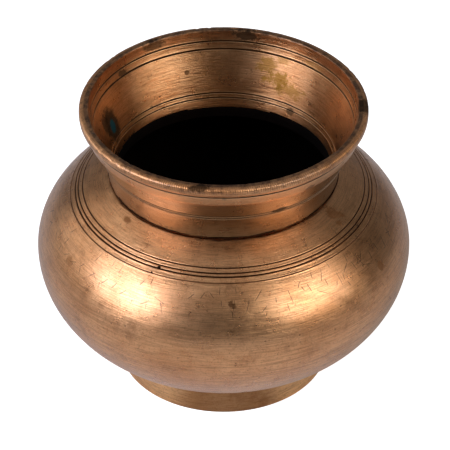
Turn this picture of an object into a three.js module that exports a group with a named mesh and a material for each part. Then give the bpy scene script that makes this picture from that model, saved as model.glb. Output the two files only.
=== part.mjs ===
// Lota: a small spun and brazed metal water pot, in millimetres, +Z up.
// The origin is at the centre of the foot, on the surface that the pot stands on.
// Four turned pieces and three braze rings are all revolved about the Z axis.

import * as THREE from 'three';

// Body: two quarter ellipses that meet at the widest circle
const bellyRadius = 59.5;
const bellyHeight = 43.9;
const shoulderRise = 34.5;
const bodyWall = 2.2;
const baseRadius = 18;

// Foot ring
const footHeight = 10.5;
const footBottomRadius = 33.9;
const footTopRadius = 33.5;
const footWall = 2.6;
const footBevel = 0.5;

// Neck and flared mouth, as four stretches that rise and widen one after the other
const neckRadius = 36.2;
const neckWall = 2.4;
const neckRise = 9.1;
const neckFlare = 2.2;
const throatRise = 7.5;
const throatFlare = 3.9;
const bandRise = 5.2;
const bandFlare = 1.9;
const throatWall = 1.6;
const mouthWall = 2.4;

// Lip
const lipHeight = 2.67;
const lipOverhang = 0.8;
const lipUndercut = 0.4;
const lipBevelWidth = 1.3;
const lipBevelHeight = 1;
const lipTopWidth = 1.6;

// Joints
const brazeHeight = 0.6;
const brazeProud = 0.3;
const tongueWall = 1.1;
const tongueHeight = 3;
const spigotDepth = 2.6;

// Incised lines
const lineWidth = 0.7;
const lineDepth = 0.35;
const lineSpacing = 1.1;
const neckLineCount = 2;
const shoulderLineOffset = 8.6;
const shoulderLineCount = 4;

// Fineness of the turned surfaces
const segments = 48;
const shoulderSteps = 7;
const bowlSteps = 8;

// Radii and heights that follow from the sizes above
const innerBellyRadius = bellyRadius - bodyWall;
const footInnerRadius = footBottomRadius - footWall;
const bowlDrop = (bellyHeight - footHeight) / Math.sin(Math.acos(footTopRadius / bellyRadius));
const shoulderHeight = ellipseHeight(bellyRadius, shoulderRise, neckRadius);
const neckBase = shoulderHeight + brazeHeight;
const throatRadius = neckRadius - neckWall;
const spigotRadius = throatRadius + neckWall / 2;
const tongueRadius = innerBellyRadius + tongueWall;
const neckTop = [neckRadius + neckFlare, neckBase + neckRise];
const bandFoot = [neckTop[0] + throatFlare, neckTop[1] + throatRise];
const bandTop = [bandFoot[0] + bandFlare, bandFoot[1] + bandRise];
const lipRadius = bandTop[0] + lipOverhang;
const rimHeight = bandTop[1] + lipHeight;

const brightBrass = { color: 0x8f5f3a, roughness: 0.38, metalness: 1 };
const darkBrass = { color: 0x7c4f30, roughness: 0.45, metalness: 1 };
const brazeMetal = { color: 0x4a2c1a, roughness: 0.6, metalness: 1 };

// Height of the body's ellipse at a radius; a negative rise gives the bowl below the belly.
function ellipseHeight(radius, rise, atRadius) {
  const cosine = atRadius / radius;
  return bellyHeight + rise * Math.sqrt(1 - cosine * cosine);
}

function ellipseRadius(radius, rise, atHeight) {
  const sine = (atHeight - bellyHeight) / rise;
  return radius * Math.sqrt(1 - sine * sine);
}

// Points along the body's ellipse, evenly turned, from one radius to another.
function ellipseArc(radius, rise, fromRadius, toRadius, steps) {
  const from = Math.acos(fromRadius / radius);
  const to = Math.acos(toRadius / radius);
  const points = [];
  for (let step = 0; step <= steps; step += 1) {
    const angle = from + ((to - from) * step) / steps;
    points.push([radius * Math.cos(angle), bellyHeight + rise * Math.sin(angle)]);
  }
  return points;
}

// A V-shaped line cut into a surface, at a point and across the surface's direction.
function incisedLine([radius, height], [alongRadius, alongHeight]) {
  const half = lineWidth / 2;
  const inward = [-alongHeight, alongRadius];
  return [
    [radius - half * alongRadius, height - half * alongHeight],
    [radius + lineDepth * inward[0], height + lineDepth * inward[1]],
    [radius + half * alongRadius, height + half * alongHeight],
  ];
}

// Direction from one point of an outline to another, of length one.
function direction(from, to) {
  const length = Math.hypot(to[0] - from[0], to[1] - from[1]);
  return [(to[0] - from[0]) / length, (to[1] - from[1]) / length];
}

// Turns an outline of [radius, height] points about the Z axis into a closed solid.
function turned(name, outline, look) {
  const closes = outline[0][0] > 0;
  const ring = closes ? [...outline, outline[0]] : outline;
  const points = ring.map(([radius, height]) => new THREE.Vector2(radius, height));
  const geometry = new THREE.LatheGeometry(points, segments);
  geometry.rotateX(Math.PI / 2);
  const mesh = new THREE.Mesh(geometry, new THREE.MeshStandardMaterial(look));
  mesh.name = name;
  return mesh;
}

function footRing() {
  const outerHeight = ellipseHeight(bellyRadius, -bowlDrop, footTopRadius);
  const innerHeight = ellipseHeight(bellyRadius, -bowlDrop, footInnerRadius);
  return turned('foot_ring', [
    [footInnerRadius, footBevel],
    [footInnerRadius + footBevel, 0],
    [footBottomRadius - footBevel, 0],
    [footBottomRadius, footBevel],
    [footTopRadius, outerHeight - brazeHeight],
    [footInnerRadius, innerHeight - brazeHeight],
  ], darkBrass);
}

function footBraze() {
  const outerHeight = ellipseHeight(bellyRadius, -bowlDrop, footTopRadius);
  const innerHeight = ellipseHeight(bellyRadius, -bowlDrop, footInnerRadius);
  return turned('foot_braze', [
    [footInnerRadius, innerHeight - brazeHeight],
    [footTopRadius, outerHeight - brazeHeight],
    [footTopRadius, outerHeight],
    [footInnerRadius, innerHeight],
  ], brazeMetal);
}

// The lower half of the body, with a flat base and a tongue that the shoulder fits over.
function bowlShell() {
  const baseHeight = ellipseHeight(bellyRadius, -bowlDrop, baseRadius);
  const innerDrop = bowlDrop - bodyWall;
  const floorHeight = baseHeight + bodyWall;
  const floorRadius = ellipseRadius(innerBellyRadius, -innerDrop, floorHeight);
  const seamHeight = bellyHeight - brazeHeight / 2;
  const seamRadius = ellipseRadius(bellyRadius, -bowlDrop, seamHeight);
  const outside = ellipseArc(bellyRadius, -bowlDrop, footTopRadius, seamRadius, bowlSteps);
  const inside = ellipseArc(innerBellyRadius, -innerDrop, innerBellyRadius, floorRadius, bowlSteps);
  return turned('bowl_shell', [
    [0, baseHeight],
    [baseRadius, baseHeight],
    [footInnerRadius, ellipseHeight(bellyRadius, -bowlDrop, footInnerRadius)],
    ...outside,
    [tongueRadius, seamHeight],
    [tongueRadius, bellyHeight + tongueHeight],
    [innerBellyRadius, bellyHeight + tongueHeight],
    ...inside,
    [0, floorHeight],
  ], brightBrass);
}

function bellyBraze() {
  const half = brazeHeight / 2;
  const lowerRadius = ellipseRadius(bellyRadius, -bowlDrop, bellyHeight - half);
  const upperRadius = ellipseRadius(bellyRadius, shoulderRise, bellyHeight + half);
  return turned('belly_braze', [
    [tongueRadius, bellyHeight - half],
    [lowerRadius, bellyHeight - half],
    [upperRadius, bellyHeight + half],
    [tongueRadius, bellyHeight + half],
  ], brazeMetal);
}

// The upper half of the body, with incised lines and a hole that takes the neck's spigot.
function shoulderShell() {
  const seamHeight = bellyHeight + brazeHeight / 2;
  const seamRadius = ellipseRadius(bellyRadius, shoulderRise, seamHeight);
  const lastLine = neckRadius + shoulderLineOffset;
  const firstLine = lastLine + (shoulderLineCount - 1) * lineSpacing;
  const lines = [];
  for (let line = 0; line < shoulderLineCount; line += 1) {
    const radius = firstLine - line * lineSpacing;
    const here = [radius, ellipseHeight(bellyRadius, shoulderRise, radius)];
    const above = [radius - lineSpacing, ellipseHeight(bellyRadius, shoulderRise, radius - lineSpacing)];
    lines.push(...incisedLine(here, direction(here, above)));
  }
  const below = ellipseArc(bellyRadius, shoulderRise, seamRadius, firstLine + lineSpacing, shoulderSteps);
  const above = ellipseArc(bellyRadius, shoulderRise, lastLine - lineSpacing, neckRadius, 2);
  const innerRise = shoulderRise - bodyWall;
  const stepHeight = bellyHeight + tongueHeight;
  const stepRadius = ellipseRadius(innerBellyRadius, innerRise, stepHeight);
  const inside = ellipseArc(innerBellyRadius, innerRise, spigotRadius, stepRadius, shoulderSteps);
  return turned('shoulder_shell', [
    ...below,
    ...lines,
    ...above,
    [spigotRadius, shoulderHeight],
    ...inside,
    [tongueRadius, stepHeight],
    [tongueRadius, seamHeight],
  ], brightBrass);
}

function neckBraze() {
  return turned('neck_braze', [
    [spigotRadius, shoulderHeight],
    [neckRadius, shoulderHeight],
    [neckRadius + brazeProud, shoulderHeight + brazeHeight / 2],
    [neckRadius, neckBase],
    [spigotRadius, neckBase],
  ], brazeMetal);
}

// The neck, the flared mouth and the lip, turned in one piece.
function mouthCollar() {
  const upward = direction(neckTop, bandFoot);
  const lines = [];
  for (let line = 0; line < neckLineCount; line += 1) {
    const along = line * lineSpacing;
    const here = [neckTop[0] + along * upward[0], neckTop[1] + along * upward[1]];
    lines.push(...incisedLine(here, upward));
  }
  const topOuter = lipRadius - lipBevelWidth;
  const topInner = topOuter - lipTopWidth;
  return turned('mouth_collar', [
    [spigotRadius, shoulderHeight - spigotDepth],
    [spigotRadius, neckBase],
    [neckRadius, neckBase],
    [neckRadius + neckFlare / 3, neckBase + neckRise / 2],
    ...lines,
    bandFoot,
    bandTop,
    [lipRadius, bandTop[1] + lipUndercut],
    [lipRadius, rimHeight - lipBevelHeight],
    [topOuter, rimHeight],
    [topInner, rimHeight],
    [bandTop[0] - mouthWall, bandTop[1]],
    [bandFoot[0] - mouthWall, bandFoot[1]],
    [neckTop[0] - throatWall, neckTop[1]],
    [throatRadius, neckBase],
    [throatRadius, shoulderHeight - spigotDepth],
  ], brightBrass);
}

const lota = new THREE.Group();
lota.add(
  footRing(),
  footBraze(),
  bowlShell(),
  bellyBraze(),
  shoulderShell(),
  neckBraze(),
  mouthCollar(),
);

export default lota;
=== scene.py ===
import math

import bmesh
import bpy
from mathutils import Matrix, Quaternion, Vector, noise


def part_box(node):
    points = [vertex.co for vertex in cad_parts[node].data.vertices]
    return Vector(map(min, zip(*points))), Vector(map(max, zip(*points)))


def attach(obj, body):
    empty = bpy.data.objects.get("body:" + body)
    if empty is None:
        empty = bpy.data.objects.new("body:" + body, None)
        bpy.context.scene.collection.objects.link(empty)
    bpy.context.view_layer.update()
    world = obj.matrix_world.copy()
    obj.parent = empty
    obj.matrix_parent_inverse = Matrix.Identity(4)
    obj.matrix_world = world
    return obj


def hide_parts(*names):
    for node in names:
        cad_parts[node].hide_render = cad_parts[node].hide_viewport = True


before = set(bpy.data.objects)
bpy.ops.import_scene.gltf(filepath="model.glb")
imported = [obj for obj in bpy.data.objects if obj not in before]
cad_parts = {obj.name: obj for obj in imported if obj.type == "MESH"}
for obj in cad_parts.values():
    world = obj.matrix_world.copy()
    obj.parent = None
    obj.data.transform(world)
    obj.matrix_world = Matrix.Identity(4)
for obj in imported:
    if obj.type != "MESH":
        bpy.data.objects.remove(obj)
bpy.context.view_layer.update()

mm = 0.001


# Sizes read from the frame, in millimetres

def radiusOf(node):
    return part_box(node)[1].x / mm


def heightsOf(node):
    low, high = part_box(node)
    return low.z / mm, high.z / mm


bellyRadius = radiusOf("bowl_shell")
bellyHeight = sum(heightsOf("belly_braze")) / 2
footRadius = radiusOf("foot_ring")
footTopRadius = radiusOf("foot_braze")
footTop = heightsOf("foot_braze")[1]
baseHeight = heightsOf("bowl_shell")[0]
neckFoot, neckBase = heightsOf("neck_braze")
lipRadius = radiusOf("mouth_collar")
rimHeight = heightsOf("mouth_collar")[1]
spigotFoot = heightsOf("mouth_collar")[0]

roundSteps = 360


# Outlines: lists of (radius, height), walked with the metal on the left hand

def ellipseArc(radius, rise, fromRadius, toRadius, steps=40):
    start = math.acos(min(1.0, fromRadius / radius))
    end = math.acos(min(1.0, toRadius / radius))
    points = []
    for step in range(steps + 1):
        angle = start + (end - start) * step / steps
        points.append((radius * math.cos(angle), bellyHeight + rise * math.sin(angle)))
    return points


def riseThrough(radius, atRadius, atHeight):
    return (atHeight - bellyHeight) / math.sin(math.acos(atRadius / radius))


def curve(start, pull, end, steps=14):
    points = []
    for step in range(steps + 1):
        t = step / steps
        points.append(tuple(
            (1 - t) ** 2 * a + 2 * t * (1 - t) * b + t * t * c for a, b, c in zip(start, pull, end)
        ))
    return points


def joined(*runs):
    outline = []
    for run in runs:
        for point in run:
            if not outline or math.dist(outline[-1], point) > 0.01:
                outline.append(point)
    return outline


def crossing(outline, lengths, along, value, inside):
    # where the outline passes a radius or a height, on its outer or its inner side
    found = []
    for i in range(len(outline) - 1):
        a, b = outline[i][along], outline[i + 1][along]
        if (a - value) * (b - value) <= 0 and a != b:
            share = (value - a) / (b - a)
            found.append(lengths[i] + share * (lengths[i + 1] - lengths[i]))
    return found[-1] if inside else found[0]


burrReach = 2.2  # how far the burr beside a cut reaches, in half widths of the cut
pointsAcross = 4  # points in each half width of a cut


def incised(outline, cuts, step=0.9):
    # walks the outline again, finely at each cut, and gives (radius, height, grime)
    lengths = [0.0]
    for a, b in zip(outline, outline[1:]):
        lengths.append(lengths[-1] + math.dist(a, b))
    places = []
    for cut in cuts:
        along = 0 if "radius" in cut else 1
        value = cut["radius"] if "radius" in cut else cut["height"]
        places.append(crossing(outline, lengths, along, value, cut.get("inside", False)))
    marks = set(lengths)
    for i in range(len(outline) - 1):
        parts = max(1, round((lengths[i + 1] - lengths[i]) / step))
        marks.update(lengths[i] + (lengths[i + 1] - lengths[i]) * k / parts for k in range(parts))
    for place, cut in zip(places, cuts):
        half = cut["width"] / 2
        cleared = (burrReach + 0.2) * half
        marks = {m for m in marks if abs(m - place) > cleared or m in (0.0, lengths[-1])}
        finePoints = range(-9, 10)
        marks.update(place + half * k / pointsAcross for k in finePoints)
    walked = []
    i = 0
    for mark in sorted(m for m in marks if 0 <= m <= lengths[-1]):
        while i < len(lengths) - 2 and lengths[i + 1] < mark:
            i += 1
        share = (mark - lengths[i]) / (lengths[i + 1] - lengths[i])
        a, b = outline[i], outline[i + 1]
        size = math.dist(a, b)
        outward = ((b[1] - a[1]) / size, -(b[0] - a[0]) / size)
        sink, grime = 0.0, 0.0
        for place, cut in zip(places, cuts):
            u = abs(mark - place) / (cut["width"] / 2)
            if u < 1:
                sink += cut["depth"] * (1 - u * u) ** 1.5
                grime = max(grime, cut.get("grime", 1.0) * (1 - u ** 3))
            elif u < burrReach:
                sink -= cut.get("burr", 0.03) * math.sin((u - 1) / (burrReach - 1) * math.pi) ** 2
        radius = max(0.0, a[0] + share * (b[0] - a[0]) - sink * outward[0])
        walked.append((radius, a[1] + share * (b[1] - a[1]) - sink * outward[1], grime))
    return walked


mergeDistance = 0.002 * mm
shortestEdge = 0.001 * mm
sharpAngle = math.radians(50)


def spunPiece(name, walked, material, nodes, wobble=None, steps=roundSteps, dark=None):
    # turns an outline of (radius, height, grime) once around the axis
    mesh = bmesh.new()
    grime = mesh.verts.layers.float.new("grime")
    verts = []
    for radius, height, dirt in walked:
        vert = mesh.verts.new((0, radius * mm, height * mm))
        vert[grime] = dirt
        verts.append(vert)
    for a, b in zip(verts, verts[1:]):
        mesh.edges.new((a, b))
    if walked[0][0] > 0:
        mesh.edges.new((verts[-1], verts[0]))
    bmesh.ops.spin(
        mesh, geom=mesh.verts[:] + mesh.edges[:], cent=(0, 0, 0), axis=(0, 0, 1),
        dvec=(0, 0, 0), angle=math.tau, steps=steps, use_merge=True, use_duplicate=False,
    )
    bmesh.ops.remove_doubles(mesh, verts=mesh.verts, dist=mergeDistance)
    bmesh.ops.dissolve_degenerate(mesh, edges=mesh.edges, dist=shortestEdge)
    if wobble:
        for vert in mesh.verts:
            vert.co += wobble(vert.co)
    bmesh.ops.recalc_face_normals(mesh, faces=mesh.faces)
    for face in mesh.faces:
        face.smooth = True
    for edge in mesh.edges:
        if len(edge.link_faces) == 2 and edge.calc_face_angle() > sharpAngle:
            edge.smooth = False
    data = bpy.data.meshes.new(name)
    mesh.to_mesh(data)
    mesh.free()
    piece = bpy.data.objects.new(name, data)
    bpy.context.scene.collection.objects.link(piece)
    data.materials.append(material)
    # faces inside the body and the throat take the second material, painted near-black for the shade
    # inside the pot
    if dark:
        data.materials.append(insideShade)
        for face in data.polygons:
            x, y, z = face.center
            face.material_index = int(dark(math.hypot(x, y) / mm, z / mm))
    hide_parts(*nodes)
    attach(piece, "root")
    print("made", name, len(data.polygons), "faces")
    return piece


# Node helpers

def newGroup(name, inputs, outputs):
    tree = bpy.data.node_groups.new(name, "ShaderNodeTree")
    kinds = {"value": "NodeSocketFloat", "vector": "NodeSocketVector", "colour": "NodeSocketColor"}
    for label, kind, start in inputs:
        socket = tree.interface.new_socket(label, in_out="INPUT", socket_type=kinds[kind])
        socket.default_value = start
    for label, kind in outputs:
        tree.interface.new_socket(label, in_out="OUTPUT", socket_type=kinds[kind])
    return tree, tree.nodes.new("NodeGroupInput"), tree.nodes.new("NodeGroupOutput")


def feed(tree, socket, source):
    if isinstance(source, bpy.types.NodeSocket):
        tree.links.new(source, socket)
    else:
        socket.default_value = source


def maths(tree, operation, *sources):
    node = tree.nodes.new("ShaderNodeMath")
    node.operation = operation
    for socket, source in zip(node.inputs, sources):
        feed(tree, socket, source)
    return node.outputs[0]


def product(tree, first, *others):
    for other in others:
        first = maths(tree, "MULTIPLY", first, other)
    return first


def vectorMaths(tree, operation, *sources):
    node = tree.nodes.new("ShaderNodeVectorMath")
    node.operation = operation
    for socket, source in zip(node.inputs, sources):
        feed(tree, socket, source)
    return node.outputs["Value" if operation in ("LENGTH", "DOT_PRODUCT") else "Vector"]


def combined(tree, x, y, z):
    node = tree.nodes.new("ShaderNodeCombineXYZ")
    for socket, source in zip(node.inputs, (x, y, z)):
        feed(tree, socket, source)
    return node.outputs[0]


def noiseAt(tree, vector, scale, detail=2.0, roughness=0.5, distortion=0.0):
    node = tree.nodes.new("ShaderNodeTexNoise")
    feed(tree, node.inputs["Vector"], vector)
    node.inputs["Scale"].default_value = scale
    node.inputs["Detail"].default_value = detail
    node.inputs["Roughness"].default_value = roughness
    node.inputs["Distortion"].default_value = distortion
    return node.outputs["Fac"]


def ranged(tree, value, low, high, toLow=0.0, toHigh=1.0):
    node = tree.nodes.new("ShaderNodeMapRange")
    node.interpolation_type = "SMOOTHSTEP"
    feed(tree, node.inputs["Value"], value)
    limits = {"From Min": low, "From Max": high, "To Min": toLow, "To Max": toHigh}
    for label, source in limits.items():
        feed(tree, node.inputs[label], source)
    return node.outputs["Result"]


def mixed(tree, factor, first, second):
    node = tree.nodes.new("ShaderNodeMix")
    node.data_type = "RGBA"
    feed(tree, node.inputs["Factor"], factor)
    for label, source in (("A", first), ("B", second)):
        socket = [s for s in node.inputs if s.name == label and s.type == "RGBA"][0]
        feed(tree, socket, source)
    return [s for s in node.outputs if s.type == "RGBA"][0]


def placed(tree, group, **values):
    node = tree.nodes.new("ShaderNodeGroup")
    node.node_tree = group
    for label, source in values.items():
        feed(tree, node.inputs[label], source)
    return node


# Shared effects

def makeAroundGroup():
    # a point on the pot: its direction from the axis, radius, height and angle, and how far
    # its wall faces outwards
    tree, inside, outside = newGroup("aroundAxis", [], [
        ("Around", "vector"), ("Radius", "value"), ("Height", "value"), ("Angle", "value"),
        ("Outward", "value"),
    ])
    nearAxis = 0.5 * mm
    spot = tree.nodes.new("ShaderNodeTexCoord").outputs["Object"]
    facing = tree.nodes.new("ShaderNodeTexCoord").outputs["Normal"]
    split = tree.nodes.new("ShaderNodeSeparateXYZ")
    tree.links.new(spot, split.inputs[0])
    x, y, z = split.outputs
    squares = maths(tree, "ADD", maths(tree, "MULTIPLY", x, x), maths(tree, "MULTIPLY", y, y))
    radius = maths(tree, "SQRT", squares)
    safe = maths(tree, "MAXIMUM", radius, nearAxis)
    direction = combined(tree, maths(tree, "DIVIDE", x, safe), maths(tree, "DIVIDE", y, safe), 0.0)
    tree.links.new(direction, outside.inputs["Around"])
    tree.links.new(radius, outside.inputs["Radius"])
    tree.links.new(z, outside.inputs["Height"])
    tree.links.new(maths(tree, "ARCTAN2", y, x), outside.inputs["Angle"])
    tree.links.new(vectorMaths(tree, "DOT_PRODUCT", facing, direction), outside.inputs["Outward"])
    return tree


# lines for each metre of wall, how soon they change around the pot, and how broken they are
turning = {
    "Lines": {"often": 2600, "wander": 7.0, "detail": 3.0},
    "Bands": {"often": 620, "wander": 3.0, "detail": 3.0},
    "Ripple": {"often": 90, "wander": 1.2, "detail": 1.0},
}


def makeTurnedGroup(aroundGroup):
    # fine lines left by the lathe: quick across the wall, slow around the pot
    tree, inside, outside = newGroup("turnedLines", [
        ("Slope", "value", 1.0),
    ], [(label, "value") for label in turning])
    place = placed(tree, aroundGroup)
    across = maths(tree, "MULTIPLY_ADD", place.outputs["Radius"], inside.outputs["Slope"],
                   place.outputs["Height"])
    for label, lines in turning.items():
        wander = (lines["wander"], lines["wander"], 0.0)
        turn = vectorMaths(tree, "MULTIPLY", place.outputs["Around"], wander)
        step = combined(tree, 0.0, 0.0, maths(tree, "MULTIPLY", across, lines["often"]))
        field = noiseAt(tree, vectorMaths(tree, "ADD", turn, step), 1.0, lines["detail"], 0.6)
        tree.links.new(field, outside.inputs[label])
    return tree


def makePitGroup():
    # small dark pits, thinned so that only a share of the cells holds one
    tree, inside, outside = newGroup("castPits", [
        ("Scale", "value", 300.0), ("Size", "value", 0.2), ("Share", "value", 0.3),
    ], [("Mask", "value")])
    spot = tree.nodes.new("ShaderNodeTexCoord").outputs["Object"]
    cells = tree.nodes.new("ShaderNodeTexVoronoi")
    tree.links.new(spot, cells.inputs["Vector"])
    tree.links.new(inside.outputs["Scale"], cells.inputs["Scale"])
    split = tree.nodes.new("ShaderNodeSeparateColor")
    tree.links.new(cells.outputs["Color"], split.inputs[0])
    chosen = maths(tree, "LESS_THAN", split.outputs[0], inside.outputs["Share"])
    smallest, ragged, softEdge = 0.35, 0.3, 0.06
    reach = maths(tree, "MULTIPLY", inside.outputs["Size"], maths(tree, "ADD", split.outputs[1], smallest))
    rough = noiseAt(tree, spot, 1400.0, 2.0, 0.6)
    uneven = maths(tree, "MULTIPLY", maths(tree, "SUBTRACT", rough, 0.5), ragged)
    far = maths(tree, "SUBTRACT", maths(tree, "ADD", cells.outputs["Distance"], uneven), reach)
    dot = ranged(tree, far, softEdge, 0.0)
    tree.links.new(maths(tree, "MULTIPLY", dot, chosen), outside.inputs["Mask"])
    return tree


def makeHairGroup():
    # thin wandering scratches, broken into short lengths
    tree, inside, outside = newGroup("hairScratches", [
        ("Stretch", "vector", (1.0, 1.0, 1.0)), ("Scale", "value", 120.0),
        ("Width", "value", 0.012), ("Share", "value", 0.5),
    ], [("Mask", "value")])
    spot = tree.nodes.new("ShaderNodeTexCoord").outputs["Object"]
    stretched = vectorMaths(tree, "MULTIPLY", spot, inside.outputs["Stretch"])
    field = tree.nodes.new("ShaderNodeTexNoise")
    tree.links.new(stretched, field.inputs["Vector"])
    tree.links.new(inside.outputs["Scale"], field.inputs["Scale"])
    field.inputs["Detail"].default_value = 1.0
    off = maths(tree, "ABSOLUTE", maths(tree, "SUBTRACT", field.outputs["Fac"], 0.5))
    line = ranged(tree, off, inside.outputs["Width"], 0.0)
    broken = noiseAt(tree, spot, 210.0, 1.0)
    softEnd = 0.06
    keep = ranged(tree, broken, maths(tree, "SUBTRACT", 1.0, inside.outputs["Share"]),
                  maths(tree, "SUBTRACT", 1.0 + softEnd, inside.outputs["Share"]))
    tree.links.new(maths(tree, "MULTIPLY", line, keep), outside.inputs["Mask"])
    return tree


def makeStrokeGroup(aroundGroup):
    # short straight scratches, at most one in each cell, each at its own angle
    tree, inside, outside = newGroup("shortStrokes", [
        ("Scale", "value", 200.0), ("Reach", "value", 0.0012), ("Width", "value", 0.00012),
        ("Share", "value", 0.5), ("Lean", "value", 1.57), ("Spread", "value", 2.0),
    ], [("Mask", "value")])
    # the shoulder's wall unrolled: its usual radius, and its length for each unit of height
    unrolledRadius, wallLength = bellyRadius * 0.9 * mm, 1.3
    place = placed(tree, aroundGroup)
    flat = combined(tree, maths(tree, "MULTIPLY", place.outputs["Angle"], unrolledRadius),
                    maths(tree, "MULTIPLY", place.outputs["Height"], wallLength), 0.0)
    cells = tree.nodes.new("ShaderNodeTexVoronoi")
    cells.voronoi_dimensions = "2D"
    tree.links.new(flat, cells.inputs["Vector"])
    tree.links.new(inside.outputs["Scale"], cells.inputs["Scale"])
    chance = tree.nodes.new("ShaderNodeSeparateColor")
    tree.links.new(cells.outputs["Color"], chance.inputs[0])
    offset = tree.nodes.new("ShaderNodeSeparateXYZ")
    tree.links.new(vectorMaths(tree, "SUBTRACT", flat, cells.outputs["Position"]), offset.inputs[0])
    turn = maths(tree, "MULTIPLY_ADD", maths(tree, "SUBTRACT", chance.outputs[1], 0.5),
                 inside.outputs["Spread"], inside.outputs["Lean"])
    cosine, sine = maths(tree, "COSINE", turn), maths(tree, "SINE", turn)
    along = maths(tree, "ADD", maths(tree, "MULTIPLY", offset.outputs[0], cosine),
                  maths(tree, "MULTIPLY", offset.outputs[1], sine))
    across = maths(tree, "SUBTRACT", maths(tree, "MULTIPLY", offset.outputs[1], cosine),
                   maths(tree, "MULTIPLY", offset.outputs[0], sine))
    reach = maths(tree, "MULTIPLY", inside.outputs["Reach"], maths(tree, "ADD", chance.outputs[2], 0.5))
    line = ranged(tree, maths(tree, "ABSOLUTE", across), inside.outputs["Width"], 0.0)
    ends = ranged(tree, maths(tree, "ABSOLUTE", along), reach, maths(tree, "MULTIPLY", reach, 0.6))
    chosen = maths(tree, "LESS_THAN", chance.outputs[0], inside.outputs["Share"])
    tree.links.new(product(tree, line, ends, chosen), outside.inputs["Mask"])
    return tree


def makeStainAndShadeGroup():
    # one soft-edged spot at a point, with a ragged outline, used for stains and for painted shade
    tree, inside, outside = newGroup("stainAndShadeSpot", [
        ("Centre", "vector", (0.0, 0.0, 0.0)), ("Size", "vector", (0.004, 0.004, 0.004)),
        ("Ragged", "value", 0.5), ("Edge", "value", 0.5),
    ], [("Mask", "value")])
    spot = tree.nodes.new("ShaderNodeTexCoord").outputs["Object"]
    offset = vectorMaths(tree, "DIVIDE", vectorMaths(tree, "SUBTRACT", spot, inside.outputs["Centre"]),
                         inside.outputs["Size"])
    far = vectorMaths(tree, "LENGTH", offset)
    rough = maths(tree, "SUBTRACT", noiseAt(tree, spot, 420.0, 6.0, 0.75), 0.5)
    torn = maths(tree, "MULTIPLY", rough, inside.outputs["Ragged"])
    tornReach = 4.0
    reach = maths(tree, "MULTIPLY_ADD", torn, tornReach, far)
    mask = ranged(tree, reach, maths(tree, "ADD", 1.0, inside.outputs["Edge"]), 1.0)
    tree.links.new(mask, outside.inputs["Mask"])
    return tree


aroundGroup = makeAroundGroup()
turnedGroup = makeTurnedGroup(aroundGroup)
pitGroup = makePitGroup()
hairGroup = makeHairGroup()
strokeGroup = makeStrokeGroup(aroundGroup)
stainAndShadeGroup = makeStainAndShadeGroup()
print("shared effects ready")


# The metal

metal = {
    "bright": (0.80, 0.416, 0.192, 1),
    "warm": (0.615, 0.272, 0.103, 1),
    "dark": (0.21, 0.078, 0.022, 1),
    "grime": (0.060, 0.024, 0.009, 1),
    "groove": (0.012, 0.004, 0.0015, 1),
    "ochre": (0.26, 0.125, 0.014, 1),
    "soot": (0.022, 0.012, 0.006, 1),
    "verdigris": (0.006, 0.075, 0.095, 1),
    "coat": 0.45,
    "coatIndex": 1.6,
    "coatRough": 0.27,
}

# how far each mark stands up or sinks in, in millimetres
relief = {
    "lines": 0.022,
    "bands": 0.014,
    "ripple": 0.10,
    "mottle": 0.018,
    "grain": 0.003,
    "pits": -0.005,
    "hairs": -0.003,
    "strokes": -0.015,
    "ticks": 0.055,
}


def onPot(radius, height, azimuth):
    turn = math.radians(azimuth)
    return (radius * mm * math.cos(turn), radius * mm * math.sin(turn), height * mm)


def paint(tree, look, mask, colour):
    look["colour"] = mixed(tree, mask, look["colour"], colour)


def lift(tree, look, mask, amount):
    look["height"] = maths(tree, "MULTIPLY_ADD", mask, amount, look["height"])


def roughen(tree, look, mask, amount):
    look["roughness"] = maths(tree, "MULTIPLY_ADD", mask, amount, look["roughness"])


def dull(tree, look, mask):
    look["dulled"] = maths(tree, "MAXIMUM", look["dulled"], mask)


def turnedBase(tree, turned, fields, finish):
    # warm and bright clouds, turned streaks, brown blotches and a fine grain
    lines, bands = turned.outputs["Lines"], turned.outputs["Bands"]
    mottle, grain, blotch = fields["mottle"], fields["grain"], fields["blotch"]
    warmth = ranged(tree, maths(tree, "MULTIPLY_ADD", mottle, 0.5, fields["cloud"]), 0.5, 1.0)
    look = {
        "colour": mixed(tree, warmth, finish["warm"], finish["bright"]),
        "roughness": maths(tree, "MULTIPLY_ADD", mottle, 0.14, finish["rough"] - 0.07),
        "height": maths(tree, "MULTIPLY", ranged(tree, lines, 0.36, 0.60), relief["lines"]),
        "dulled": 0.0,
    }
    paint(tree, look, ranged(tree, bands, 0.45, 0.75, 0.0, finish["tone"]), metal["dark"])
    paint(tree, look, ranged(tree, lines, 0.36, 0.56, 0.34, 0.0), metal["dark"])
    paint(tree, look, ranged(tree, blotch, 0.54, 0.72, 0.0, 0.5), metal["dark"])
    paint(tree, look, ranged(tree, grain, 0.50, 0.72, 0.0, 0.35), metal["dark"])
    lift(tree, look, bands, relief["bands"])
    lift(tree, look, turned.outputs["Ripple"], relief["ripple"])
    lift(tree, look, mottle, relief["mottle"])
    lift(tree, look, grain, relief["grain"])
    return look


def pitted(tree, look, blotch, share):
    # pits of two sizes, fewer where the metal is clean, and wandering hair scratches
    large = placed(tree, pitGroup, Scale=170.0, Size=0.07, Share=share * 0.5).outputs["Mask"]
    small = placed(tree, pitGroup, Scale=560.0, Size=0.13, Share=share * 0.9).outputs["Mask"]
    pits = maths(tree, "MAXIMUM", large, maths(tree, "MULTIPLY", small, 0.6))
    pits = maths(tree, "MULTIPLY", pits, ranged(tree, blotch, 0.35, 0.6, 0.25, 1.0))
    hairs = placed(tree, hairGroup, Stretch=(1.0, 1.0, 2.2), Scale=60.0, Width=0.0025, Share=0.30)
    hairs = hairs.outputs["Mask"]
    paint(tree, look, maths(tree, "MULTIPLY", pits, 0.9), metal["grime"])
    paint(tree, look, maths(tree, "MULTIPLY", hairs, 0.35), metal["dark"])
    lift(tree, look, pits, relief["pits"])
    lift(tree, look, hairs, relief["hairs"])


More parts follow.
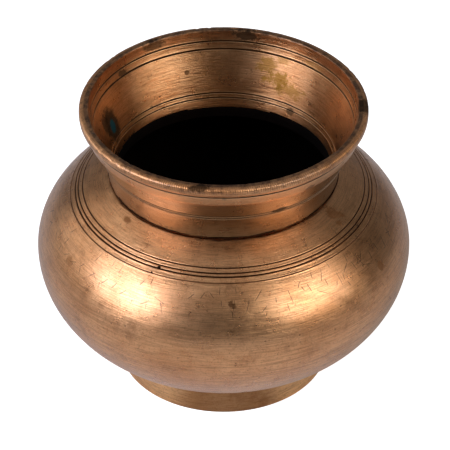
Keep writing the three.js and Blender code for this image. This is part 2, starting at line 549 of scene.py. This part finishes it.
def scratched(tree, look, place, strokes):
    # bands of short straight scratches, each band fading out over its last 2 mm
    fade = 2 * mm
    for stroke in strokes:
        low, high = stroke["low"] * mm, stroke["high"] * mm
        band = product(tree, ranged(tree, place.outputs["Height"], low, low + fade),
                       ranged(tree, place.outputs["Height"], high, high - fade))
        mask = placed(tree, strokeGroup, Scale=stroke["scale"], Reach=stroke["reach"] * mm,
                      Width=stroke["width"] * mm, Share=stroke["share"], Lean=stroke["lean"],
                      Spread=stroke["spread"]).outputs["Mask"]
        mask = product(tree, mask, band)
        paint(tree, look, maths(tree, "MULTIPLY", mask, stroke["strength"]), metal["groove"])
        lift(tree, look, mask, relief["strokes"])


def wornLip(tree, look, place, spot, lip):
    # a dull worn top, a speckled outer edge and fine ticks along it
    radius, height = place.outputs["Radius"], place.outputs["Height"]
    edgeRadius, top = lip["edgeRadius"] * mm, rimHeight * mm
    above = product(tree, ranged(tree, height, top - 0.6 * mm, top - 0.2 * mm),
                    ranged(tree, radius, edgeRadius + 0.1 * mm, edgeRadius - 0.5 * mm))
    worn = ranged(tree, noiseAt(tree, spot, 420.0, 4.0, 0.7), 0.40, 0.62, 0.88, 0.45)
    paint(tree, look, product(tree, above, worn), metal["grime"])
    roughen(tree, look, above, lip["roughness"])
    edge = product(tree, ranged(tree, radius, edgeRadius - 0.3 * mm, edgeRadius + 0.2 * mm),
                   ranged(tree, height, top - 2.4 * mm, top - 1.4 * mm))
    roughen(tree, look, edge, lip["roughness"])
    speckle = ranged(tree, noiseAt(tree, spot, 700.0, 5.0, 0.75), 0.48, 0.66, 0.0, 0.6)
    paint(tree, look, product(tree, edge, speckle), metal["grime"])
    turn = maths(tree, "MULTIPLY", place.outputs["Angle"], lip["ticks"])
    wave = maths(tree, "SINE", maths(tree, "MULTIPLY_ADD", height, lip["slant"], turn))
    clear = ranged(tree, noiseAt(tree, spot, 70.0, 1.0), 0.35, 0.6, 0.4, 1.0)
    ticks = product(tree, wave, edge, clear)
    lift(tree, look, ticks, relief["ticks"])
    paint(tree, look, ranged(tree, ticks, 0.0, -1.0, 0.0, 0.45), metal["dark"])


def paintLightAndShade(tree, look, place, paintedLightAndShade):
    # painted light and shade: another tone between two heights, on the outer or the inner side of the
    # wall, standing in for shade in recesses and for reflected light
    for paintedBand in paintedLightAndShade:
        low, high, soft = paintedBand["low"] * mm, paintedBand["high"] * mm, paintedBand["soft"] * mm
        side = maths(tree, "MULTIPLY", place.outputs["Outward"], paintedBand["side"])
        mask = product(tree, ranged(tree, place.outputs["Height"], low - soft, low + soft),
                       ranged(tree, place.outputs["Height"], high + soft, high - soft),
                       ranged(tree, side, 0.0, 0.2, 0.0, paintedBand["strength"]))
        paint(tree, look, mask, paintedBand["colour"])


def stainedAndShaded(tree, look, place, stainsAndShades):
    # stains, and on the foot a patch of painted shade
    for blot in stainsAndShades:
        size = tuple(s * mm for s in blot["size"])
        mask = placed(tree, stainAndShadeGroup, Centre=onPot(*blot["at"]), Size=size,
                      Ragged=blot["ragged"], Edge=blot["edge"]).outputs["Mask"]
        mask = maths(tree, "MULTIPLY", mask, blot["strength"])
        if blot["side"]:
            side = maths(tree, "MULTIPLY", place.outputs["Outward"], blot["side"])
            mask = product(tree, mask, ranged(tree, side, -0.1, 0.1))
        paint(tree, look, mask, metal[blot["colour"]])
        roughen(tree, look, mask, 0.2)
        dull(tree, look, mask)


def grimy(tree, look, cloud):
    # old dirt in the incised lines
    dirt = tree.nodes.new("ShaderNodeAttribute")
    dirt.attribute_name = "grime"
    mask = product(tree, dirt.outputs["Fac"], ranged(tree, cloud, 0.25, 0.6, 0.8, 1.0))
    paint(tree, look, mask, metal["groove"])
    roughen(tree, look, mask, 0.3)
    dull(tree, look, mask)


def agedMetal(name, slope=1.0, rough=0.29, tone=0.30, stainsAndShades=(), pits=0.25, strokes=(), paintedLightAndShade=(),
              lip=None, bright=metal["bright"], warm=metal["warm"]):
    # slope: how far the wall leans, so that the turning marks run across it
    material = bpy.data.materials.new(name)
    material.use_nodes = True
    tree = material.node_tree
    shader = tree.nodes["Principled BSDF"]
    turned = placed(tree, turnedGroup, Slope=slope)
    place = placed(tree, aroundGroup)
    spot = tree.nodes.new("ShaderNodeTexCoord").outputs["Object"]
    fields = {
        "cloud": noiseAt(tree, spot, 30.0, 4.0, 0.6, 0.4),
        "mottle": noiseAt(tree, spot, 230.0, 4.0, 0.65),
        "grain": noiseAt(tree, spot, 1500.0, 2.0, 0.7),
        "blotch": noiseAt(tree, spot, 85.0, 5.0, 0.72),
    }
    finish = {"warm": warm, "bright": bright, "tone": tone, "rough": rough}
    look = turnedBase(tree, turned, fields, finish)
    pitted(tree, look, fields["blotch"], pits)
    scratched(tree, look, place, strokes)
    if lip:
        wornLip(tree, look, place, spot, lip)
    paintLightAndShade(tree, look, place, paintedLightAndShade)
    stainedAndShaded(tree, look, place, stainsAndShades)
    grimy(tree, look, fields["cloud"])

    # the thin clear tarnish is gone where the metal is stained or dirty, and under the foot's painted
    # shade
    coat = maths(tree, "MULTIPLY", maths(tree, "SUBTRACT", 1.0, look["dulled"]), metal["coat"])
    bump = tree.nodes.new("ShaderNodeBump")
    bump.inputs["Strength"].default_value = 1.0
    bump.inputs["Distance"].default_value = mm
    tree.links.new(look["height"], bump.inputs["Height"])
    tree.links.new(bump.outputs["Normal"], shader.inputs["Normal"])
    tree.links.new(look["colour"], shader.inputs["Base Color"])
    tree.links.new(look["roughness"], shader.inputs["Roughness"])
    tree.links.new(coat, shader.inputs["Coat Weight"])
    shader.inputs["Metallic"].default_value = 1.0
    shader.inputs["Coat Roughness"].default_value = metal["coatRough"]
    shader.inputs["Coat IOR"].default_value = metal["coatIndex"]
    return material


def paintedInsideShade(name):
    # painted shade: the inside of the body and of the throat is painted near-black and dull, for the
    # darkness inside the closed pot
    material = bpy.data.materials.new(name)
    material.use_nodes = True
    tree = material.node_tree
    shader = tree.nodes["Principled BSDF"]
    spot = tree.nodes.new("ShaderNodeTexCoord").outputs["Object"]
    patch = ranged(tree, noiseAt(tree, spot, 60.0, 4.0, 0.6), 0.35, 0.7)
    deep, paler = (0.0012, 0.0006, 0.0004, 1), (0.004, 0.0016, 0.0008, 1)
    tree.links.new(mixed(tree, patch, deep, paler), shader.inputs["Base Color"])
    tree.links.new(ranged(tree, patch, 0.0, 1.0, 0.9, 0.75), shader.inputs["Roughness"])
    shader.inputs["Metallic"].default_value = 0.0
    shader.inputs["Specular IOR Level"].default_value = 0.05
    return material


def brazeMetal(name):
    material = bpy.data.materials.new(name)
    material.use_nodes = True
    tree = material.node_tree
    shader = tree.nodes["Principled BSDF"]
    spot = tree.nodes.new("ShaderNodeTexCoord").outputs["Object"]
    lumps = noiseAt(tree, spot, 500.0, 4.0, 0.65)
    worn = ranged(tree, noiseAt(tree, spot, 90.0, 3.0, 0.6), 0.48, 0.78)
    dull = mixed(tree, ranged(tree, lumps, 0.3, 0.7), metal["groove"], metal["grime"])
    tree.links.new(mixed(tree, worn, dull, metal["dark"]), shader.inputs["Base Color"])
    tree.links.new(ranged(tree, lumps, 0.3, 0.7, 0.75, 0.45), shader.inputs["Roughness"])
    bump = tree.nodes.new("ShaderNodeBump")
    bump.inputs["Strength"].default_value = 0.8
    bump.inputs["Distance"].default_value = 0.2 * mm
    tree.links.new(lumps, bump.inputs["Height"])
    tree.links.new(bump.outputs["Normal"], shader.inputs["Normal"])
    shader.inputs["Metallic"].default_value = 1.0
    return material


insideShade = paintedInsideShade("paintedInsideShade")


def stainAndShadeAt(at, size, colour, strength, ragged, edge, side=0):
    # at: radius, height and azimuth; side: 1 is the outer wall, -1 the inner wall, 0 both
    return {
        "at": at, "size": size, "colour": colour, "strength": strength, "ragged": ragged, "edge": edge,
        "side": side,
    }


# Mouth collar: neck, flared mouth and lip

collar = {
    "neckRadius": 36.2,
    "neckSwell": (0.25, 5),
    "neckTop": (38.4, 80.9),
    "flarePull": (1.7, 3.7),
    "bandFoot": (42.2, 88.4),
    "bandStep": (0.3, 0.2),
    "bandTop": (44.2, 93.55),
    "bandHollow": (0.75, 2.4),
    "lipFoot": 94.0,
    "lipShoulder": 1.1,
    "lipSlope": 1.3,
    "lipTop": 1.6,
    "innerBend": (41.6, 92.3),
    "innerMid": (40.2, 89.2),
    "lowerBend": (36.6, 80.2),
    "throatTop": (34.35, 73.6),
    "throatBend": 72.2,
    "throatFoot": 70.8,
    "throatRadius": 33.8,
}


def moved(point, across, up):
    return (point[0] + across, point[1] + up)


def collarOutline():
    c = collar
    neckFootPoint = (c["neckRadius"], neckBase)
    neck = curve(neckFootPoint, moved(neckFootPoint, *c["neckSwell"]), c["neckTop"])
    flare = curve(c["neckTop"], moved(c["neckTop"], *c["flarePull"]), c["bandFoot"])
    hollow, rise = c["bandHollow"]
    band = curve(moved(c["bandFoot"], *c["bandStep"]), moved(c["bandTop"], -hollow, -rise), c["bandTop"])
    lipBottom = curve(moved(c["bandTop"], 0.3, 0.15), (lipRadius, c["bandTop"][1] + 0.2),
                      (lipRadius, c["lipFoot"] + 0.2), 4)
    topOuter = lipRadius - c["lipSlope"]
    lipOuter = curve((lipRadius, rimHeight - c["lipShoulder"]), (lipRadius - 0.1, rimHeight - 0.15),
                     (topOuter, rimHeight), 8)
    topInner = topOuter - c["lipTop"]
    coneTop = (topInner - 0.03, rimHeight - 0.25)
    lipInner = curve((topInner + 0.25, rimHeight), (topInner, rimHeight), coneTop, 4)
    upperCone = curve(coneTop, c["innerBend"], c["innerMid"])
    lowerCone = curve(c["innerMid"], c["lowerBend"], c["throatTop"])
    throat = curve(c["throatTop"], (c["throatRadius"], c["throatBend"]),
                   (c["throatRadius"], c["throatFoot"]), 8)
    spigot = (c["neckRadius"] + c["throatRadius"]) / 2
    foot = [(c["throatRadius"], spigotFoot), (spigot, spigotFoot), (spigot, neckBase)]
    return joined(neck, flare, band, lipBottom, lipOuter, lipInner, upperCone, lowerCone, throat, foot)


# a negative depth is a ridge that stands up between its lines
collarCuts = [
    {"height": 80.2, "width": 0.5, "depth": -0.11, "burr": 0, "grime": 0},
    {"height": 80.75, "width": 0.42, "depth": 0.04, "burr": 0},
    {"height": 81.3, "width": 0.5, "depth": -0.11, "burr": 0, "grime": 0},
    {"height": 81.85, "width": 0.42, "depth": 0.04, "burr": 0},
    {"height": 92.5, "width": 0.8, "depth": 0.12, "burr": 0.02},
    {"height": 93.4, "width": 0.3, "depth": 0.08, "grime": 0.6},
    {"height": 92.7, "width": 0.55, "depth": 0.3, "inside": True},
    {"height": 90.2, "width": 0.6, "depth": 0.3, "inside": True},
    {"height": 76.6, "width": 0.5, "depth": 0.25, "inside": True},
    {"height": 75.1, "width": 0.45, "depth": 0.25, "inside": True},
]


def collarWobble(point):
    # a slightly uneven lip, with small nicks along its outer edge
    above = max(0.0, min(1.0, (point.z / mm - 93) / 3))
    slow = noise.noise(Vector((point.x, point.y, 0)) * 45) * 0.25
    nick = max(0.0, noise.noise(Vector((point.x, point.y, 0.3)) * 520) - 0.28) * 0.9
    outward = Vector((point.x, point.y, 0)).normalized()
    up = Vector((0, 0, 1))
    return (outward * slow * 0.4 - up * nick * above + up * slow * above * 0.5) * mm


mouthStains = [
    stainAndShadeAt((36.7, 81.0, 162.5), (3.2, 2.6, 4.4), "soot", 0.9, 0.5, 0.9, -1),
    stainAndShadeAt((37.6, 83.4, 168.0), (2.2, 1.6, 3.0), "soot", 0.75, 0.9, 0.9, -1),
    stainAndShadeAt((36.6, 80.6, 162.2), (1.3, 1.3, 2.3), "verdigris", 0.9, 0.3, 0.4, -1),
    stainAndShadeAt((39.4, 86.8, 67.5), (2.4, 1.8, 1.6), "ochre", 0.68, 1.9, 0.8, -1),
    stainAndShadeAt((37.5, 83.2, 62.5), (2.8, 2.4, 1.5), "ochre", 0.78, 1.9, 0.9, -1),
    stainAndShadeAt((36.5, 81.0, 55.0), (3.2, 2.8, 1.3), "ochre", 0.62, 1.9, 1.0, -1),
    stainAndShadeAt((40.6, 89.2, 62.0), (2.0, 1.6, 0.9), "ochre", 0.47, 1.6, 0.8, -1),
    stainAndShadeAt((41.4, 91.4, 45.0), (3.0, 2.6, 0.7), "ochre", 0.39, 1.5, 0.8, -1),
    stainAndShadeAt((42.4, 94.9, 80.5), (3.0, 1.6, 1.2), "soot", 0.85, 0.8, 0.8),
    stainAndShadeAt((42.4, 95.0, 122.5), (3.2, 2.2, 1.0), "soot", 0.7, 0.8, 0.9),
    stainAndShadeAt((43.4, 96.0, -1.0), (1.6, 3.0, 1.8), "soot", 0.85, 0.6, 0.7),
    stainAndShadeAt((44.2, 96.2, -99.5), (2.4, 1.2, 0.9), "soot", 0.85, 0.8, 0.6),
    stainAndShadeAt((41.0, 91.2, 142.0), (1.6, 1.4, 0.7), "soot", 0.75, 0.7, 0.6, -1),
    stainAndShadeAt((38.7, 81.8, -64.0), (2.0, 1.4, 0.8), "soot", 0.75, 0.8, 0.6, 1),
    stainAndShadeAt((42.6, 89.3, -52.0), (1.2, 1.2, 0.8), "soot", 0.55, 0.7, 0.6, 1),
    stainAndShadeAt((38.0, 84.0, 108.0), (0.7, 0.7, 0.6), "grime", 0.8, 0.3, 0.6, -1),
    stainAndShadeAt((34.6, 74.8, 52.0), (1.3, 1.3, 0.9), "soot", 0.7, 0.6, 0.6, -1),
]

collarPaintedLightAndShade = [
    # painted shade: the outer neck under the flared mouth is painted darker and less red, for the shade
    # under the lip and its dimmer reflections
    {"low": neckBase - 2, "high": 88.2, "soft": 0.5, "side": 1.0, "strength": 0.62,
     "colour": (0.17, 0.122, 0.050, 1)},
    # painted reflection: the band under the lip is painted paler, for the light it reflects from the
    # shoulder
    {"low": 88.8, "high": 92.8, "soft": 0.4, "side": 1.0, "strength": 0.35,
     "colour": (0.95, 0.62, 0.33, 1)},
    # painted shade: the inner wall of the mouth is painted darker, for the shade inside it
    {"low": 72, "high": 94, "soft": 2.0, "side": -1.0, "strength": 0.24,
     "colour": (0.12, 0.125, 0.050, 1)},
]

collarLip = {
    "edgeRadius": lipRadius - collar["lipSlope"],
    "roughness": 0.12,
    "ticks": 400.0,
    "slant": 1500.0,
}


def insideThroat(radius, height):
    return radius < 34.0 and height < 72.4


collarMetal = agedMetal("collarMetal", slope=0.6, stainsAndShades=mouthStains, paintedLightAndShade=collarPaintedLightAndShade, lip=collarLip)
spunPiece("mouthCollar", incised(collarOutline(), collarCuts), collarMetal, ["mouth_collar"],
          wobble=collarWobble, dark=insideThroat)


# Shoulder: the upper half of the belly

shoulder = {
    "wall": 2.2,
    "hole": 35.0,
    "tongue": 1.1,
    "step": 3.0,
    "innerGap": 0.3,
}

shoulderCuts = [
    {"radius": 44.6, "width": 0.5, "depth": 0.2},
    {"radius": 46.0, "width": 0.55, "depth": 0.25},
    {"radius": 46.95, "width": 0.6, "depth": 0.28},
    {"radius": 48.5, "width": 0.4, "depth": 0.14, "grime": 0.8},
]


def shoulderOutline():
    wall = shoulder["wall"]
    rise = riseThrough(bellyRadius, collar["neckRadius"], neckFoot)
    inner = bellyRadius - wall
    tongue = inner + shoulder["tongue"]
    outside = ellipseArc(bellyRadius, rise, bellyRadius, collar["neckRadius"], 60)
    inside = ellipseArc(inner, rise - wall, shoulder["hole"], inner - shoulder["innerGap"], 40)
    step = [(tongue, bellyHeight + shoulder["step"]), (tongue, bellyHeight)]
    return joined(outside, [(shoulder["hole"], neckFoot)], inside, step)


def insideBody(radius, height):
    # nearer to the axis than the middle of the wall
    rise = riseThrough(bellyRadius, collar["neckRadius"], neckFoot)
    drop = riseThrough(bellyRadius, footTopRadius, footTop)
    half = shoulder["wall"] / 2
    reach = (rise if height > bellyHeight else -drop) - half
    return math.hypot(radius / (bellyRadius - half), (height - bellyHeight) / reach) < 1


shoulderStains = [
    stainAndShadeAt((53.1, 59.6, -87.4), (0.75, 0.75, 0.75), "grime", 0.85, 1.2, 0.8),
    stainAndShadeAt((53.5, 58.9, -86.7), (0.5, 0.5, 0.6), "grime", 0.80, 1.2, 0.8),
    stainAndShadeAt((46.7, 65.3, -115.0), (0.5, 0.5, 0.45), "groove", 1.0, 0.3, 0.3),
    stainAndShadeAt((48.2, 63.9, -117.0), (0.35, 0.35, 0.3), "groove", 1.0, 0.3, 0.3),
    stainAndShadeAt((38.7, 70.1, -140.5), (0.7, 0.7, 0.4), "dark", 0.75, 1.2, 1.4),
    stainAndShadeAt((39.8, 69.6, -30.5), (2.2, 1.2, 1.2), "dark", 0.7, 1.8, 0.9),
    stainAndShadeAt((42.6, 68.0, -33.0), (0.8, 0.8, 0.6), "dark", 0.7, 1.4, 0.8),
    stainAndShadeAt((56.5, 55.0, -30.0), (1.0, 1.0, 0.8), "dark", 0.7, 1.4, 0.8),
    stainAndShadeAt((55.0, 57.0, -150.0), (1.2, 1.2, 1.0), "dark", 0.6, 1.5, 0.9),
]

shoulderStrokes = [
    {"low": 55, "high": 64, "scale": 230.0, "reach": 1.6, "width": 0.18, "share": 0.60, "lean": 1.2,
     "spread": 1.4, "strength": 0.95},
    {"low": 56, "high": 63, "scale": 170.0, "reach": 2.0, "width": 0.16, "share": 0.36, "lean": 2.2,
     "spread": 1.2, "strength": 0.85},
    {"low": 44, "high": 71, "scale": 60.0, "reach": 5.0, "width": 0.10, "share": 0.40, "lean": 1.2,
     "spread": 3.0, "strength": 0.45},
]

shoulderMetal = agedMetal("shoulderMetal", slope=-0.9, pits=0.2, stainsAndShades=shoulderStains,
                          strokes=shoulderStrokes)
spunPiece("shoulderShell", incised(shoulderOutline(), shoulderCuts), shoulderMetal, ["shoulder_shell"],
          dark=insideBody)


# Bowl: the lower half of the belly

bowl = {
    "wall": 2.2,
    "tongue": 1.1,
    "lap": 3.0,
    "baseRadius": 18.0,
}


def bowlOutline():
    wall = bowl["wall"]
    drop = riseThrough(bellyRadius, footTopRadius, footTop)
    inner = bellyRadius - wall
    tongue = inner + bowl["tongue"]
    outside = ellipseArc(bellyRadius, drop, bowl["baseRadius"], bellyRadius, 70)
    lap = [(tongue, bellyHeight), (tongue, bellyHeight + bowl["lap"]), (inner, bellyHeight + bowl["lap"])]
    inside = ellipseArc(inner, drop + wall, inner, bowl["baseRadius"], 50)
    return joined([(0, baseHeight)], outside, lap, inside, [(0, baseHeight + wall)])


bowlStrokes = [
    {"low": 14, "high": 44, "scale": 70.0, "reach": 3.5, "width": 0.10, "share": 0.35, "lean": 0.6,
     "spread": 3.0, "strength": 0.5},
]

bowlMetal = agedMetal("bowlMetal", slope=0.9, pits=0.35, strokes=bowlStrokes)
spunPiece("bowlShell", incised(bowlOutline(), []), bowlMetal, ["bowl_shell"],
          dark=insideBody)


# Foot ring

foot = {
    "wall": 2.6,
    "edge": 0.5,
    "gap": 0.6,
    # painted light: the foot's metal is painted paler than the rest of the pot, for the brighter paper it
    # reflects at its sides
    "bright": (0.96, 0.60, 0.29, 1),
    "warm": (0.82, 0.45, 0.18, 1),
}


def footOutline():
    innerRadius = footRadius - foot["wall"]
    drop = riseThrough(bellyRadius, footTopRadius, footTop)
    underBowl = bellyHeight + drop * math.sin(math.acos(innerRadius / bellyRadius)) - foot["gap"]
    edge = foot["edge"]
    return joined(
        [(innerRadius, edge), (innerRadius + edge, 0)],
        curve((footRadius - edge, 0), (footRadius, 0), (footRadius, edge), 4),
        [(footTopRadius, footTop - foot["gap"]), (innerRadius, underBowl), (innerRadius, edge)],
    )


# painted shade: the front of the foot is painted darker, for the shaded floor under the belly that it
# reflects
footPaintedShade = [stainAndShadeAt((33.9, 4.0, -87.0), (9.0, 12.0, 8.0), "dark", 0.70, 0.12, 1.6)]

footMetalWithPaintedLight = agedMetal("footMetalWithPaintedLight", slope=0.1, tone=0.25, rough=0.36, stainsAndShades=footPaintedShade,
                      bright=foot["bright"], warm=foot["warm"])
spunPiece("footRing", incised(footOutline(), [])[:-1], footMetalWithPaintedLight, ["foot_ring"])


# Braze rings: radius, height, half width and half height of each

braze = {
    "neck": (36.2, neckBase + 0.08, 0.28, 0.20),
    "foot": (footTopRadius - 0.3, footTop - 0.35, 0.5, 0.35),
    "belly": (bellyRadius - 1.0, bellyHeight, 0.5, 0.3),
}


def ringOutline(radius, height, wide, high, sides=12):
    dirt = 0.5
    points = []
    for step in range(sides):
        turn = math.tau * step / sides
        points.append((radius + wide * math.cos(turn), height + high * math.sin(turn), dirt))
    return points


def brazeWobble(point):
    # the filler metal lies unevenly along its joint
    uneven = noise.noise(point * 260) * 0.22 + noise.noise(point * 900) * 0.12
    outward = Vector((point.x, point.y, 0)).normalized()
    return (outward * uneven + Vector((0, 0, uneven * 0.4))) * mm


filler = brazeMetal("fillerMetal")
spunPiece("neckBraze", ringOutline(*braze["neck"]), filler, ["neck_braze"], wobble=brazeWobble,
          steps=roundSteps * 2)
spunPiece("footBraze", ringOutline(*braze["foot"]), filler, ["foot_braze"], wobble=brazeWobble)
spunPiece("bellyBraze", ringOutline(*braze["belly"]), filler, ["belly_braze"], steps=240)


# Floor, light and camera

studio = {
    "floorSize": 6.0,
    # painted light: the paper's colour near the pot and far off
    "floorLitColour": (0.66, 0.66, 0.66, 1),
    "floorShadedColour": (0.25, 0.25, 0.25, 1),
    "litRadius": 0.16,
    "dimRadius": 0.60,
    "floorLift": 0.82,
    "roomLow": 0.07,
    "roomHigh": 0.43,
    "ceiling": (0.60, 0.95),
    "roomBack": 0.10,
    "back": (0.35, 0.85),
    "backdrop": 1.0,
}

# size is width and height; brightness is what the lamp's face shows to a mirror
lamps = {
    "leftSoftbox": {"outline": "ELLIPSE", "azimuth": -154, "elevation": 27.5, "roll": 0, "distance": 1.3,
                    "size": (1.06, 0.82), "brightness": 4.7, "colour": (0.94, 1.0, 1.22)},
    "leftEdgeLamp": {"outline": "RECTANGLE", "azimuth": -139.5, "elevation": 27.5, "roll": 10,
                     "distance": 1.27, "size": (0.38, 0.92), "brightness": 1.9,
                     "colour": (0.94, 1.0, 1.22)},
    "rightSoftbox": {"outline": "RECTANGLE", "azimuth": -33.5, "elevation": 28.3, "roll": 4,
                     "distance": 1.3, "size": (0.93, 0.74), "brightness": 4.0, "colour": (1, 1, 1)},
    "sideSoftbox": {"outline": "RECTANGLE", "azimuth": 162, "elevation": 27, "roll": 0, "distance": 1.3,
                    "size": (0.95, 1.15), "brightness": 0.85, "colour": (1, 1, 1)},
}

# lamps that light only the paper: where each stands, and the spot it is turned to
paperLamps = {
    "leftPaperLamp": {"azimuth": -155, "spotAzimuth": -146, "spotRadius": 0.075, "energy": 1.8},
    "rightPaperLamp": {"azimuth": -25, "spotAzimuth": -34, "spotRadius": 0.075, "energy": 3.0},
}

paperLamp = {
    "elevation": 38,
    "distance": 0.6,
    "cone": 15,
    "softness": 0.05,
}


def aim(item, place, target, roll=0):
    item.location = place
    facing = (target - place).to_track_quat("-Z", "Y")
    item.rotation_euler = (facing @ Quaternion((0, 0, 1), math.radians(roll))).to_euler()


def around(azimuth, elevation, distance):
    turn, tilt = math.radians(azimuth), math.radians(elevation)
    flat = math.cos(tilt)
    return Vector((math.cos(turn) * flat, math.sin(turn) * flat, math.sin(tilt))) * distance


potMiddle = Vector((0, 0, 0.05))


def addLamp(light, place, target, roll=0):
    lamp = bpy.data.objects.new(light.name, light)
    bpy.context.scene.collection.objects.link(lamp)
    aim(lamp, place, target, roll)
    return lamp


def makeFloor():
    mesh = bmesh.new()
    bmesh.ops.create_grid(mesh, x_segments=1, y_segments=1, size=studio["floorSize"] / 2)
    data = bpy.data.meshes.new("studioFloor")
    mesh.to_mesh(data)
    mesh.free()
    floor = bpy.data.objects.new("studioFloor", data)
    bpy.context.scene.collection.objects.link(floor)
    material = bpy.data.materials.new("paperFloor")
    material.use_nodes = True
    tree = material.node_tree
    shader = tree.nodes["Principled BSDF"]
    # painted light: the paper's colour is painted paler around the pot and darker away into the room,
    # where the light falls away
    reach = vectorMaths(tree, "LENGTH", tree.nodes.new("ShaderNodeTexCoord").outputs["Object"])
    paintedFalloff = ranged(tree, reach, studio["litRadius"], studio["dimRadius"])
    tree.links.new(mixed(tree, paintedFalloff, studio["floorLitColour"], studio["floorShadedColour"]),
                   shader.inputs["Base Color"])
    shader.inputs["Roughness"].default_value = 0.9
    shader.inputs["Specular IOR Level"].default_value = 0.0
    shader.inputs["Emission Color"].default_value = (1, 1, 1, 1)
    seen = tree.nodes.new("ShaderNodeLightPath").outputs["Is Camera Ray"]
    tree.links.new(maths(tree, "MULTIPLY", seen, studio["floorLift"]), shader.inputs["Emission Strength"])
    data.materials.append(material)


def makeLamps():
    for name, lamp in lamps.items():
        light = bpy.data.lights.new(name, "AREA")
        light.shape = lamp["outline"]
        light.color = lamp["colour"]
        light.size, light.size_y = lamp["size"]
        area = light.size * light.size_y * (math.pi / 4 if light.shape == "ELLIPSE" else 1)
        light.energy = lamp["brightness"] * math.pi * area
        place = potMiddle + around(lamp["azimuth"], lamp["elevation"], lamp["distance"])
        addLamp(light, place, potMiddle, lamp["roll"])
    for name, lamp in paperLamps.items():
        light = bpy.data.lights.new(name, "SPOT")
        light.spot_size = math.radians(paperLamp["cone"])
        light.spot_blend = 1.0
        light.shadow_soft_size = paperLamp["softness"]
        light.energy = lamp["energy"]
        target = around(lamp["spotAzimuth"], 0, lamp["spotRadius"])
        place = target + around(lamp["azimuth"], paperLamp["elevation"], paperLamp["distance"])
        addLamp(light, place, target).visible_glossy = False


def makeRoom():
    world = bpy.data.worlds.new("studioRoom")
    bpy.context.scene.world = world
    world.use_nodes = True
    tree = world.node_tree
    tree.nodes.clear()
    # a dim room under a brighter ceiling, with paler paper hanging at its back
    room = tree.nodes.new("ShaderNodeBackground")
    split = tree.nodes.new("ShaderNodeSeparateXYZ")
    tree.links.new(tree.nodes.new("ShaderNodeTexCoord").outputs["Generated"], split.inputs[0])
    ceiling = ranged(tree, split.outputs[2], *studio["ceiling"], studio["roomLow"], studio["roomHigh"])
    back = ranged(tree, split.outputs[1], *studio["back"], 0.0, studio["roomBack"])
    tree.links.new(maths(tree, "ADD", ceiling, back), room.inputs["Strength"])
    wall = tree.nodes.new("ShaderNodeBackground")
    wall.inputs["Strength"].default_value = studio["backdrop"]
    wall.inputs["Color"].default_value = (1, 1, 1, 1)
    room.inputs["Color"].default_value = (1, 1, 1, 1)
    seen = tree.nodes.new("ShaderNodeLightPath")
    choose = tree.nodes.new("ShaderNodeMixShader")
    output = tree.nodes.new("ShaderNodeOutputWorld")
    tree.links.new(seen.outputs["Is Camera Ray"], choose.inputs[0])
    tree.links.new(room.outputs[0], choose.inputs[1])
    tree.links.new(wall.outputs[0], choose.inputs[2])
    tree.links.new(choose.outputs[0], output.inputs["Surface"])


viewpoint = {
    "lens": 235.35,
    "distance": 0.9405,
    "elevation": 36.88,
    "aimHeight": 0.0497,
    "sideways": 0.00042,
}


def makeCamera():
    data = bpy.data.cameras.new("studioCamera")
    data.lens = viewpoint["lens"]
    data.sensor_width = 36
    camera = bpy.data.objects.new("studioCamera", data)
    bpy.context.scene.collection.objects.link(camera)
    target = Vector((viewpoint["sideways"], 0, viewpoint["aimHeight"]))
    aim(camera, target + around(-90, viewpoint["elevation"], viewpoint["distance"]), target)
    bpy.context.scene.camera = camera


makeFloor()
makeLamps()
makeRoom()
makeCamera()
bpy.context.scene.view_settings.view_transform = "Standard"
print("studio ready")
